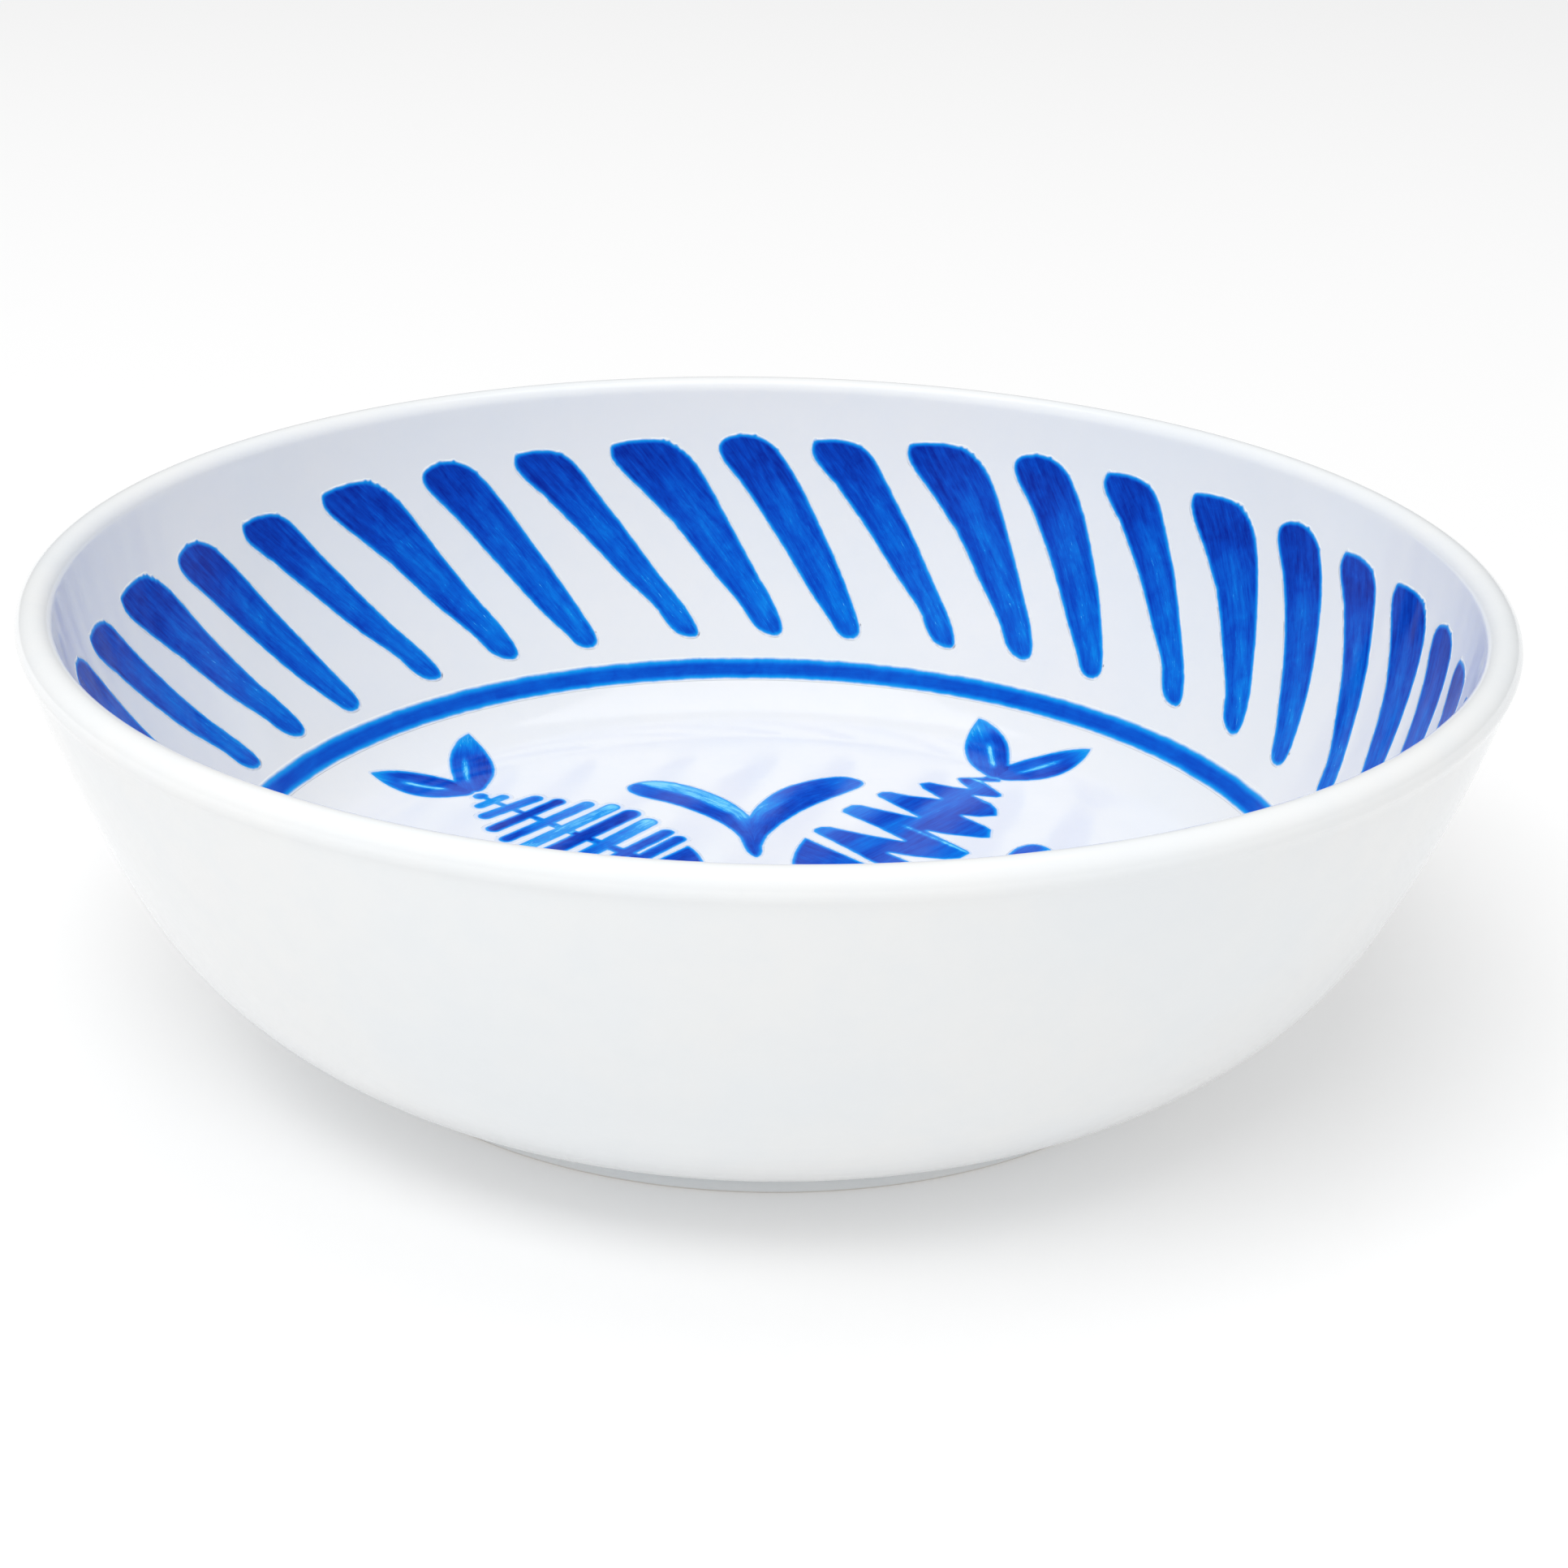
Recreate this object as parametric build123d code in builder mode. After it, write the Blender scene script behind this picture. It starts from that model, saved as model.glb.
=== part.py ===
from build123d import *
from math import acos, cos, degrees, radians, sin
import os

os.makedirs("parts", exist_ok=True)

# A round porcelain serving bowl, in millimetres. Z is the bowl's axis and points up.
# The origin is the middle of the circle on which the foot rests.
# Slopes are in degrees from the horizontal, and azimuths in degrees from +X, seen from above.

# Lip: a round bead that stands a little proud of the outer wall.
rim_radius = 150.0
height = 93.0
bead_radius = 3.66
bead_proud = 0.3
cove_radius = 8.0

# Outer wall and belly, down to the plane on which the foot ring is luted.
outer_lip_slope = 74.6
outer_wall_radius = 257.5
belly_slope = 63.8
belly_radius = 72.6
seat_height = 4.0

# Inner wall, the round corner at its foot, and the slightly dished floor.
inner_lip_slope = 78.1
inner_wall_radius = 143.8
corner_slope = 51.5
corner_radius = 30.7
floor_slope = 1.0

# Foot ring, and the shallow recess that it encloses.
foot_radius = 91.2
foot_top_radius = 89.9
foot_inner_radius = 83.4
foot_inner_top_radius = 80.0
foot_edge_radius = 0.9
recess_radius = 78.0
recess_height = 8.2
recess_corner_radius = 3.0

# The fired colour stands this far out of the wall. The cutters pass well through it.
colour_thickness = 0.3
cutter_reach = 10.0
cutter_height = 60.0

# Brush strokes below the lip, laid on planes that touch the wall half-way up it.
# They come in threes of one wide, one medium and one narrow stroke. Their spacing drifts round the rim,
# wavers a little four times round it, and the whole row sits slightly higher on one side.
stroke_plane_height = 57.0
stroke_groups = 12
stroke_pitch = 10.0
first_azimuth = 160.1
drift = 3.8
drift_azimuth = 36.3
waver = 0.6
waver_azimuth = -25.6
row_rise = 2.1
row_rise_azimuth = 16.0

# The line round the floor.
line_inner_radius = 111.2
line_outer_radius = 114.6

# The four-fold pattern on the floor: two fish of ribs, two zigzag fish, and a sprig between neighbours.
fishbone_azimuth = 141.0
zigzag_azimuth = 50.5
sprig_azimuth = 95.0

# Outlines of the three strokes, each closed by one smooth periodic curve.
# X runs clockwise along the wall and Y runs up it.
wide_stroke = [
    (-20.4, 23.0), (-12.4, 24.2), (-6.6, 23.4), (-3.0, 21.0), (-0.2, 18.1), (2.0, 14.8), (4.8, 9.4),
    (8.3, 2.1), (11.8, -5.2), (15.3, -12.6), (18.6, -20.0), (18.7, -25.6), (15.1, -25.0), (10.2, -18.6),
    (4.2, -10.6), (-2.8, -0.8), (-9.2, 6.9), (-14.8, 12.7), (-19.1, 17.0), (-21.0, 20.0),
]
medium_stroke = [
    (-17.4, 23.2), (-10.1, 24.1), (-5.8, 22.1), (-3.0, 19.1), (-0.7, 15.9), (2.4, 10.7), (6.0, 3.6),
    (9.6, -3.6), (12.9, -11.0), (15.9, -18.6), (16.5, -25.8), (13.8, -25.8), (10.3, -22.1),
    (5.7, -15.5), (0.3, -7.1), (-5.2, 1.3), (-9.8, 7.9), (-14.7, 14.2), (-18.4, 18.9), (-18.9, 21.5),
]
narrow_stroke = [
    (-19.5, 22.8), (-12.2, 23.4), (-7.4, 21.9), (-4.5, 19.1), (-2.3, 15.8), (0.9, 10.7), (5.2, 3.9),
    (10.3, -4.8), (14.3, -11.8), (18.3, -18.7), (19.7, -25.8), (16.3, -25.2), (11.6, -18.7),
    (5.4, -10.9), (-2.0, -1.4), (-8.4, 6.3), (-13.7, 12.3), (-18.7, 17.3), (-20.4, 20.6),
]

# Floor motifs. X runs outwards from the middle of the floor, and Y to the left.
# Each rib has its place along the spine, its lean, its half width, and its reach to the left and right.
ribs = [
    (34.6, 1.2, 1.8, 14.6, 14.4),
    (39.1, 0.9, 1.8, 15.4, 15.2),
    (45.4, 1.8, 2.1, 16.6, 17.0),
    (51.9, 0.8, 2.4, 17.4, 18.0),
    (57.6, 0.5, 1.8, 16.6, 17.4),
    (63.2, -0.2, 1.7, 15.0, 14.6),
    (69.1, -0.3, 1.8, 13.0, 11.3),
    (74.7, -1.5, 1.7, 9.2, 9.1),
    (80.1, -0.4, 1.3, 5.6, 4.2),
]
spine_start = (33.0, 0.9)
spine_start_half_width = 1.6
spine_end = (84.0, 0.3)
spine_end_half_width = 0.6
tail_knot_radius = 1.7
fishbone_head = [
    (31.3, 11.6), (27.2, 9.9), (23.2, 7.2), (20.0, 3.9), (18.6, 0.2), (20.0, -3.8), (23.2, -7.0),
    (27.2, -9.7), (31.3, -11.3),
]
fishbone_left_leaf = [
    (105.1, 14.6), (97.6, 12.2), (91.7, 8.6), (87.8, 4.2), (86.4, 0.2), (89.2, -1.8), (96.0, -0.8),
    (101.2, 3.6), (104.2, 9.4), (105.1, 14.6),
]
fishbone_right_leaf = [
    (105.0, -17.2), (97.6, -16.2), (91.4, -11.8), (87.6, -6.0), (86.4, -0.8), (89.2, 0.6), (94.8, -1.9),
    (100.4, -6.2), (104.0, -11.4), (105.0, -17.2),
]
zigzag_head = [
    (31.8, 14.8), (26.8, 12.8), (21.6, 9.9), (17.2, 5.9), (15.4, 0.6), (17.4, -5.0), (22.4, -10.0),
    (28.8, -13.8),
]
zigzag_body = [
    (31.8, -3.7), (33.6, 4.1), (35.7, 15.4), (36.9, 16.2), (38.9, 15.9), (40.2, 14.4), (42.8, 4.1),
    (45.3, -3.6), (47.2, 5.8), (48.6, 17.4), (50.0, 18.3), (53.1, 18.3), (54.3, 17.0), (57.7, 1.9),
    (61.0, 16.6), (61.9, 17.8), (63.6, 17.8), (65.0, 16.3), (66.1, 11.9), (69.4, 4.8), (71.5, 11.9),
    (73.2, 14.3), (75.3, 13.0), (76.9, 6.9), (78.5, 3.6), (80.0, 7.4), (81.4, 9.2), (82.3, 9.1),
    (85.8, 5.2), (88.0, 4.8), (87.8, 1.4), (86.4, 0.7), (83.9, 3.8), (80.8, -3.8), (79.7, -4.5),
    (78.6, -4.0), (75.9, 1.0), (75.0, -5.0), (73.3, -7.8), (70.2, -10.2), (67.2, -7.6), (65.0, -3.5),
    (63.8, -11.5), (63.0, -13.8), (59.3, -16.1), (58.1, -14.8), (54.4, -7.6), (53.0, -2.4), (50.3, -16.6),
    (49.6, -17.7), (46.0, -17.6), (43.3, -15.3), (40.3, -9.8), (37.8, -3.2), (36.6, -15.8), (32.4, -15.6),
    (31.3, -8.0),
]
zigzag_corner_radius = 0.25
zigzag_left_leaf = [
    (105.2, 20.8), (98.2, 19.3), (92.2, 14.4), (88.2, 7.8), (87.6, 2.6), (90.4, 2.2), (96.0, 5.0),
    (100.8, 8.6), (104.4, 14.4), (105.2, 20.8),
]
zigzag_right_leaf = [
    (106.9, -10.5), (100.4, -9.8), (94.6, -6.6), (90.0, -2.4), (87.6, 2.4), (90.0, 4.4), (95.4, 4.4),
    (101.4, 0.2), (105.4, -5.4), (106.9, -10.5),
]
sprig_left = [
    (23.0, 0.0), (24.4, 1.0), (33.4, 2.8), (44.8, 8.7), (54.8, 19.8), (59.2, 25.8), (62.4, 26.9),
    (65.7, 23.6), (65.2, 16.4), (58.8, 7.8), (50.2, 1.8), (45.0, -0.1),
]
sprig_right = [
    (45.0, -0.1), (53.0, -3.4), (61.4, -9.8), (66.4, -18.8), (66.4, -25.6), (63.2, -28.1),
    (59.4, -25.4), (50.0, -14.3), (39.6, -6.1), (28.0, -1.6), (24.4, -1.0), (23.0, 0.0),
]


def on_arc(point, radius, steep, shallow):
    """The end of an arc that runs down from a point and flattens from one slope to another."""
    x = point[0] - radius * (sin(radians(steep)) - sin(radians(shallow)))
    z = point[1] - radius * (cos(radians(shallow)) - cos(radians(steep)))
    return (x, z)


# Profile points that follow from the driving dimensions.
bead_centre = (rim_radius - bead_radius, height - bead_radius)
lip_inside_x = bead_centre[0] - bead_radius * sin(radians(inner_lip_slope))
lip_inside_z = bead_centre[1] + bead_radius * cos(radians(inner_lip_slope))
corner_top = on_arc((lip_inside_x, lip_inside_z), inner_wall_radius, inner_lip_slope, corner_slope)
floor_edge = on_arc(corner_top, corner_radius, corner_slope, floor_slope)
floor_dish_radius = floor_edge[0] / sin(radians(floor_slope))
floor_centre = on_arc(floor_edge, floor_dish_radius, floor_slope, 0.0)
bead_turn = 180.0 + inner_lip_slope - outer_lip_slope
cove_turn = degrees(acos(1.0 - bead_proud / (bead_radius + cove_radius)))

# The plane on which a stroke is laid touches the inner wall at this slope and radius.
stroke_cosine = (lip_inside_z - stroke_plane_height) / inner_wall_radius + cos(radians(inner_lip_slope))
stroke_slope = degrees(acos(stroke_cosine))
stroke_touch = on_arc((lip_inside_x, lip_inside_z), inner_wall_radius, inner_lip_slope, stroke_slope)
stroke_plane_radius = stroke_touch[0]


def cavity_curve(lift):
    """The inside of the bowl from the axis to the bead, raised square to its surface by a lift."""
    start = (0, floor_centre[1] + lift)
    floor = JernArc(start, (1, 0), floor_dish_radius - lift, floor_slope)
    corner = JernArc(floor @ 1, floor % 1, corner_radius - lift, corner_slope - floor_slope)
    return JernArc(corner @ 1, corner % 1, inner_wall_radius - lift, inner_lip_slope - corner_slope)


def stroke_plane(number):
    """The plane of one rim stroke, counted clockwise, with X clockwise, Y up the wall and Z inwards."""
    even = first_azimuth - stroke_pitch * number
    uneven = waver * cos(radians(4 * (even - waver_azimuth))) - drift * cos(radians(even - drift_azimuth))
    azimuth = radians(even + uneven)
    outwards = Vector(cos(azimuth), sin(azimuth), 0)
    clockwise = Vector(sin(azimuth), -cos(azimuth), 0)
    inwards = outwards * -sin(radians(stroke_slope)) + Vector(0, 0, cos(radians(stroke_slope)))
    up_wall = outwards * cos(radians(stroke_slope)) + Vector(0, 0, sin(radians(stroke_slope)))
    origin = outwards * stroke_plane_radius + Vector(0, 0, stroke_plane_height)
    origin += up_wall * row_rise * cos(azimuth - radians(row_rise_azimuth))
    return Plane(origin=origin, x_dir=clockwise, z_dir=inwards)


def floor_plane(azimuth):
    """A level plane at the bowl's foot with X pointing outwards at an azimuth."""
    return Plane(origin=(0, 0, 0), x_dir=(cos(radians(azimuth)), sin(radians(azimuth)), 0), z_dir=(0, 0, 1))


def draw_loop(points):
    """A face inside a smooth curve that starts and ends in one sharp point."""
    with BuildLine() as outline:
        Spline(*points)
    make_face(outline.edges())


def draw_bar(start, end, start_radius, end_radius):
    """A straight brush mark with round ends, in the sketch that is being drawn."""
    with BuildSketch() as bar:
        with Locations(start):
            Circle(start_radius)
        with Locations(end):
            Circle(end_radius)
        make_hull()
    add(bar.sketch)


def draw_head(points):
    """A fish head: a rounded snout closed by a straight back edge."""
    with BuildLine() as outline:
        snout = Spline(*points)
        Line(snout @ 1, snout @ 0)
    make_face(outline.edges())


# The body: floor, wall and bead in one, with a flat seat for the foot ring.
with BuildPart() as bowl_body:
    with BuildSketch(Plane.XZ):
        with BuildLine():
            inner_wall = cavity_curve(0.0)
            bead = JernArc(inner_wall @ 1, inner_wall % 1, bead_radius, -bead_turn - cove_turn)
            cove = JernArc(bead @ 1, bead % 1, cove_radius, cove_turn)
            wall = JernArc(cove @ 1, cove % 1, outer_wall_radius, belly_slope - outer_lip_slope)
            seat_cosine = cos(radians(belly_slope)) + ((wall @ 1).Y - seat_height) / belly_radius
            belly = JernArc(wall @ 1, wall % 1, belly_radius, degrees(acos(seat_cosine)) - belly_slope)
            seat = Line(belly @ 1, (recess_radius, seat_height))
            side = Line(seat @ 1, (recess_radius, recess_height - recess_corner_radius))
            turn = JernArc(side @ 1, (0, 1), recess_corner_radius, 90.0)
            ceiling = Line(turn @ 1, (0, recess_height))
            Line(ceiling @ 1, (0, floor_centre[1]))
        make_face()
    revolve(axis=Axis.Z)

# The foot ring, luted under the body and rounded where it meets the table.
with BuildPart() as foot_ring:
    with BuildSketch(Plane.XZ) as foot_profile:
        with BuildLine():
            Polyline(
                (foot_inner_top_radius, seat_height),
                (foot_inner_radius, 0),
                (foot_radius, 0),
                (foot_top_radius, seat_height),
                close=True,
            )
        make_face()
        fillet(foot_profile.vertices().group_by(Axis.Z)[0], foot_edge_radius)
    revolve(axis=Axis.Z)

# The skin in which all the fired colour lies. Every mark is a piece cut out of it.
with BuildPart() as colour_skin:
    with BuildSketch(Plane.XZ):
        with BuildLine():
            under = cavity_curve(0.0)
            over = cavity_curve(colour_thickness)
            Line(under @ 1, over @ 1)
            Line((0, floor_centre[1]), (0, floor_centre[1] + colour_thickness))
        make_face()
    revolve(axis=Axis.Z)

# Rim strokes: twelve of each width.
with BuildPart() as rim_strokes_wide:
    for group in range(stroke_groups):
        with BuildSketch(stroke_plane(3 * group)):
            with BuildLine():
                Spline(*wide_stroke, periodic=True)
            make_face()
        extrude(amount=cutter_reach, both=True)
    add(colour_skin.part, mode=Mode.INTERSECT)

with BuildPart() as rim_strokes_medium:
    for group in range(stroke_groups):
        with BuildSketch(stroke_plane(3 * group + 1)):
            with BuildLine():
                Spline(*medium_stroke, periodic=True)
            make_face()
        extrude(amount=cutter_reach, both=True)
    add(colour_skin.part, mode=Mode.INTERSECT)

with BuildPart() as rim_strokes_narrow:
    for group in range(stroke_groups):
        with BuildSketch(stroke_plane(3 * group + 2)):
            with BuildLine():
                Spline(*narrow_stroke, periodic=True)
            make_face()
        extrude(amount=cutter_reach, both=True)
    add(colour_skin.part, mode=Mode.INTERSECT)

# The line that parts the wall from the floor.
with BuildPart() as well_line:
    with BuildSketch():
        Circle(line_outer_radius)
        Circle(line_inner_radius, mode=Mode.SUBTRACT)
    extrude(amount=cutter_height)
    add(colour_skin.part, mode=Mode.INTERSECT)

# Two fish of ribs, tails outwards, facing each other across the floor.
with BuildPart() as fishbone_heads:
    for side_turn in (0, 180):
        with BuildSketch(floor_plane(fishbone_azimuth + side_turn)):
            draw_head(fishbone_head)
        extrude(amount=cutter_height)
    add(colour_skin.part, mode=Mode.INTERSECT)

with BuildPart() as fishbone_ribs:
    for side_turn in (0, 180):
        with BuildSketch(floor_plane(fishbone_azimuth + side_turn)):
            draw_bar(spine_start, spine_end, spine_start_half_width, spine_end_half_width)
            with Locations(spine_end):
                Circle(tail_knot_radius)
            for place, lean, half_width, left, right in ribs:
                top = (place - lean / 2, left - half_width)
                bottom = (place + lean / 2, half_width - right)
                draw_bar(top, bottom, half_width, half_width)
        extrude(amount=cutter_height)
    add(colour_skin.part, mode=Mode.INTERSECT)

with BuildPart() as fishbone_tails:
    for side_turn in (0, 180):
        with BuildSketch(floor_plane(fishbone_azimuth + side_turn)):
            draw_loop(fishbone_left_leaf)
            draw_loop(fishbone_right_leaf)
        extrude(amount=cutter_height)
    add(colour_skin.part, mode=Mode.INTERSECT)

# Two fish drawn as one zigzag each, across the other diameter.
with BuildPart() as zigzag_heads:
    for side_turn in (0, 180):
        with BuildSketch(floor_plane(zigzag_azimuth + side_turn)):
            draw_head(zigzag_head)
        extrude(amount=cutter_height)
    add(colour_skin.part, mode=Mode.INTERSECT)

with BuildPart() as zigzag_tails:
    for side_turn in (0, 180):
        with BuildSketch(floor_plane(zigzag_azimuth + side_turn)):
            draw_loop(zigzag_left_leaf)
            draw_loop(zigzag_right_leaf)
        extrude(amount=cutter_height)
    add(colour_skin.part, mode=Mode.INTERSECT)

with BuildPart() as zigzag_bodies:
    for side_turn in (0, 180):
        with BuildSketch(floor_plane(zigzag_azimuth + side_turn)) as zigzag:
            with BuildLine():
                Polyline(*zigzag_body, close=True)
            make_face()
            fillet(zigzag.vertices(), zigzag_corner_radius)
        extrude(amount=cutter_height)
    add(colour_skin.part, mode=Mode.INTERSECT)
    add(zigzag_tails.part, mode=Mode.SUBTRACT)

# A two-leaved sprig between each fish and the next.
with BuildPart() as sprigs:
    for quarter_turn in (0, 90, 180, 270):
        with BuildSketch(floor_plane(sprig_azimuth + quarter_turn)):
            with BuildLine():
                Spline(*sprig_left)
                Spline(*sprig_right)
            make_face()
        extrude(amount=cutter_height)
    add(colour_skin.part, mode=Mode.INTERSECT)

pieces = {
    "bowl_body": bowl_body,
    "foot_ring": foot_ring,
    "rim_strokes_wide": rim_strokes_wide,
    "rim_strokes_medium": rim_strokes_medium,
    "rim_strokes_narrow": rim_strokes_narrow,
    "well_line": well_line,
    "fishbone_heads": fishbone_heads,
    "fishbone_ribs": fishbone_ribs,
    "fishbone_tails": fishbone_tails,
    "zigzag_heads": zigzag_heads,
    "zigzag_bodies": zigzag_bodies,
    "zigzag_tails": zigzag_tails,
    "sprigs": sprigs,
}
for name, piece in pieces.items():
    piece.part.label = name
    export_step(piece.part, f"parts/{name}.step")
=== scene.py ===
from math import acos, atan2, ceil, cos, degrees, pi, radians, sin

import bpy
import numpy as np
from mathutils import Matrix, Vector


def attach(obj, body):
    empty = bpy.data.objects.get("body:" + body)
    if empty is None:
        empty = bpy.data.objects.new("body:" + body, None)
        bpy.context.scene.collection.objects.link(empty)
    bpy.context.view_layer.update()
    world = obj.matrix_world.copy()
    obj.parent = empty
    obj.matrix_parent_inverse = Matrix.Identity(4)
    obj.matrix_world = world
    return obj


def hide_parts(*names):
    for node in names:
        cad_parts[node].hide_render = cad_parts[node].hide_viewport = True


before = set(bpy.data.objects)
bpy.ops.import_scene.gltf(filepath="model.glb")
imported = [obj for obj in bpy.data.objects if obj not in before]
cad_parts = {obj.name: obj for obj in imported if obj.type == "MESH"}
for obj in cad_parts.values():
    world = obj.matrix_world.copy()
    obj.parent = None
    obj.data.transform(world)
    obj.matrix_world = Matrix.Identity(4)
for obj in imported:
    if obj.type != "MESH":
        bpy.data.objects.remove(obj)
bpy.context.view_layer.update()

MM = 0.001
TURN = 2.0 * pi

# ---------------------------------------------------------------- dimensions, in millimetres and degrees
# The bowl's profile, as the CAD model has it.
RIM_RADIUS = 150.0
HEIGHT = 93.0
BEAD_RADIUS = 3.66
BEAD_PROUD = 0.3
COVE_RADIUS = 8.0
OUTER_LIP_SLOPE = 74.6
OUTER_WALL_RADIUS = 257.5
BELLY_SLOPE = 63.8
BELLY_RADIUS = 72.6
SEAT_HEIGHT = 4.0
INNER_LIP_SLOPE = 78.1
INNER_WALL_RADIUS = 143.8
CORNER_SLOPE = 51.5
CORNER_RADIUS = 30.7
FLOOR_SLOPE = 1.0
FOOT_RADIUS = 91.2
FOOT_TOP_RADIUS = 89.9
FOOT_INNER_RADIUS = 83.4
FOOT_INNER_TOP_RADIUS = 80.0
RECESS_RADIUS = 78.0
RECESS_HEIGHT = 8.2
RECESS_CORNER_RADIUS = 3.0

# The directions in which the motifs on the floor point, and the edges of the line round it.
FISHBONE_AZIMUTHS = (141.0, 321.0)
ZIGZAG_AZIMUTHS = (50.5, 230.5)
SPRIG_AZIMUTHS = (95.0, 185.0, 275.0, 5.0)
LINE_INNER_RADIUS = 111.2
LINE_OUTER_RADIUS = 114.6
LINE_TONE = 0.70

# How the fired colour lies: it fades out over a skirt round each mark, and stands a little proud.
SKIRT = 0.55
RIB_SKIRT = 1.1
SKIRT_LIFT = 0.02
COLOUR_LIFT = 0.045
COLOUR_SUNK = 0.12

# How finely the round surfaces are divided.
SEGMENTS = 384
LINE_SEGMENTS = 960

# The size of the triangles that fill a stroke, and how far apart in the noise two copies of a mark lie.
STROKE_SPACING = 0.75
STROKE_SEED_STEP = 13.0
MOTIF_SEED_STEP = 31.0


def wrapped(angle):
    """An angle brought between minus half a turn and half a turn."""
    return (angle + pi) % TURN - pi


# ---------------------------------------------------------------- profile
def arc(path, radius, turn, step):
    """Adds an arc to a path of (x, z, heading) rows. A positive turn is to the left."""
    x, z, heading = path[-1]
    side = 1.0 if turn > 0 else -1.0
    first = radians(heading)
    count = max(3, ceil(abs(radians(turn)) * radius / step))
    for i in range(1, count + 1):
        angle = first + radians(turn) * i / count
        px = x + side * radius * (sin(angle) - sin(first))
        pz = z - side * radius * (cos(angle) - cos(first))
        path.append((px, pz, heading + turn * i / count))


def drop(radius, steep, shallow):
    """How far in and how far down an arc goes as it flattens from one slope to another."""
    inwards = radius * (sin(radians(steep)) - sin(radians(shallow)))
    down = radius * (cos(radians(shallow)) - cos(radians(steep)))
    return inwards, down


lip_x = RIM_RADIUS - BEAD_RADIUS - BEAD_RADIUS * sin(radians(INNER_LIP_SLOPE))
lip_z = HEIGHT - BEAD_RADIUS + BEAD_RADIUS * cos(radians(INNER_LIP_SLOPE))
wall_in, wall_down = drop(INNER_WALL_RADIUS, INNER_LIP_SLOPE, CORNER_SLOPE)
corner_in, corner_down = drop(CORNER_RADIUS, CORNER_SLOPE, FLOOR_SLOPE)
floor_dish_radius = (lip_x - wall_in - corner_in) / sin(radians(FLOOR_SLOPE))
floor_z = lip_z - wall_down - corner_down - drop(floor_dish_radius, FLOOR_SLOPE, 0.0)[1]


def inner_path(floor_step, step):
    """The inside of the bowl, from the axis to the bead."""
    path = [(0.0, floor_z, 0.0)]
    arc(path, floor_dish_radius, FLOOR_SLOPE, floor_step)
    arc(path, CORNER_RADIUS, CORNER_SLOPE - FLOOR_SLOPE, step)
    arc(path, INNER_WALL_RADIUS, INNER_LIP_SLOPE - CORNER_SLOPE, step)
    return path


lookup = np.array(inner_path(0.2, 0.1))
lookup_length = np.concatenate([[0.0], np.cumsum(np.hypot(np.diff(lookup[:, 0]), np.diff(lookup[:, 1])))])


def inner_surface(radius):
    """The height and the slope, in radians, of the inside of the bowl at each radius."""
    height = np.interp(radius, lookup[:, 0], lookup[:, 1])
    slope = np.radians(np.interp(radius, lookup[:, 0], lookup[:, 2]))
    return height, slope


def outer_path():
    """The bead, the outer wall, the belly, and the recess under the floor, back to the axis."""
    path = [tuple(lookup[-1])]
    bead_turn = 180.0 + INNER_LIP_SLOPE - OUTER_LIP_SLOPE
    cove_turn = degrees(acos(1.0 - BEAD_PROUD / (BEAD_RADIUS + COVE_RADIUS)))
    arc(path, BEAD_RADIUS, -bead_turn - cove_turn, 0.35)
    arc(path, COVE_RADIUS, cove_turn, 0.3)
    arc(path, OUTER_WALL_RADIUS, BELLY_SLOPE - OUTER_LIP_SLOPE, 2.0)
    seat_slope = degrees(acos(cos(radians(BELLY_SLOPE)) + (path[-1][1] - SEAT_HEIGHT) / BELLY_RADIUS))
    arc(path, BELLY_RADIUS, seat_slope - BELLY_SLOPE, 1.2)
    path.append((FOOT_TOP_RADIUS - 1.0, SEAT_HEIGHT, 180.0))
    path.append((RECESS_RADIUS, SEAT_HEIGHT, 180.0))
    path.append((RECESS_RADIUS, RECESS_HEIGHT - RECESS_CORNER_RADIUS, 90.0))
    arc(path, RECESS_CORNER_RADIUS, 90.0, 0.4)
    for share in (0.8, 0.6, 0.4, 0.2):
        path.append(((RECESS_RADIUS - RECESS_CORNER_RADIUS) * share, RECESS_HEIGHT, 180.0))
    path.append((0.0, RECESS_HEIGHT, 180.0))
    return path[1:]


def rounded(points, radii, steps=6):
    """A closed profile with each corner rounded to its own radius."""
    out = []
    count = len(points)
    for k, radius in enumerate(radii):
        corner = np.array(points[k], float)
        back = np.array(points[k - 1], float) - corner
        ahead = np.array(points[(k + 1) % count], float) - corner
        back /= np.linalg.norm(back)
        ahead /= np.linalg.norm(ahead)
        half = 0.5 * acos(float(np.clip(back @ ahead, -1.0, 1.0)))
        middle = back + ahead
        middle /= np.linalg.norm(middle)
        centre = corner + middle * radius / sin(half)
        first = corner + back * radius / np.tan(half) - centre
        last = corner + ahead * radius / np.tan(half) - centre
        start = atan2(first[1], first[0])
        sweep = wrapped(atan2(last[1], last[0]) - start)
        for i in range(steps + 1):
            angle = start + sweep * i / steps
            out.append((centre[0] + radius * cos(angle), centre[1] + radius * sin(angle)))
    return out


# ---------------------------------------------------------------- meshes
def make_object(name, points, faces, smooth=None):
    """A mesh object from points in millimetres."""
    mesh = bpy.data.meshes.new(name)
    mesh.from_pydata((np.asarray(points) * MM).tolist(), [], [list(map(int, f)) for f in faces])
    mesh.polygons.foreach_set("use_smooth", [True] * len(mesh.polygons) if smooth is None else smooth)
    mesh.update()
    obj = bpy.data.objects.new(name, mesh)
    bpy.context.scene.collection.objects.link(obj)
    return obj


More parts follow.
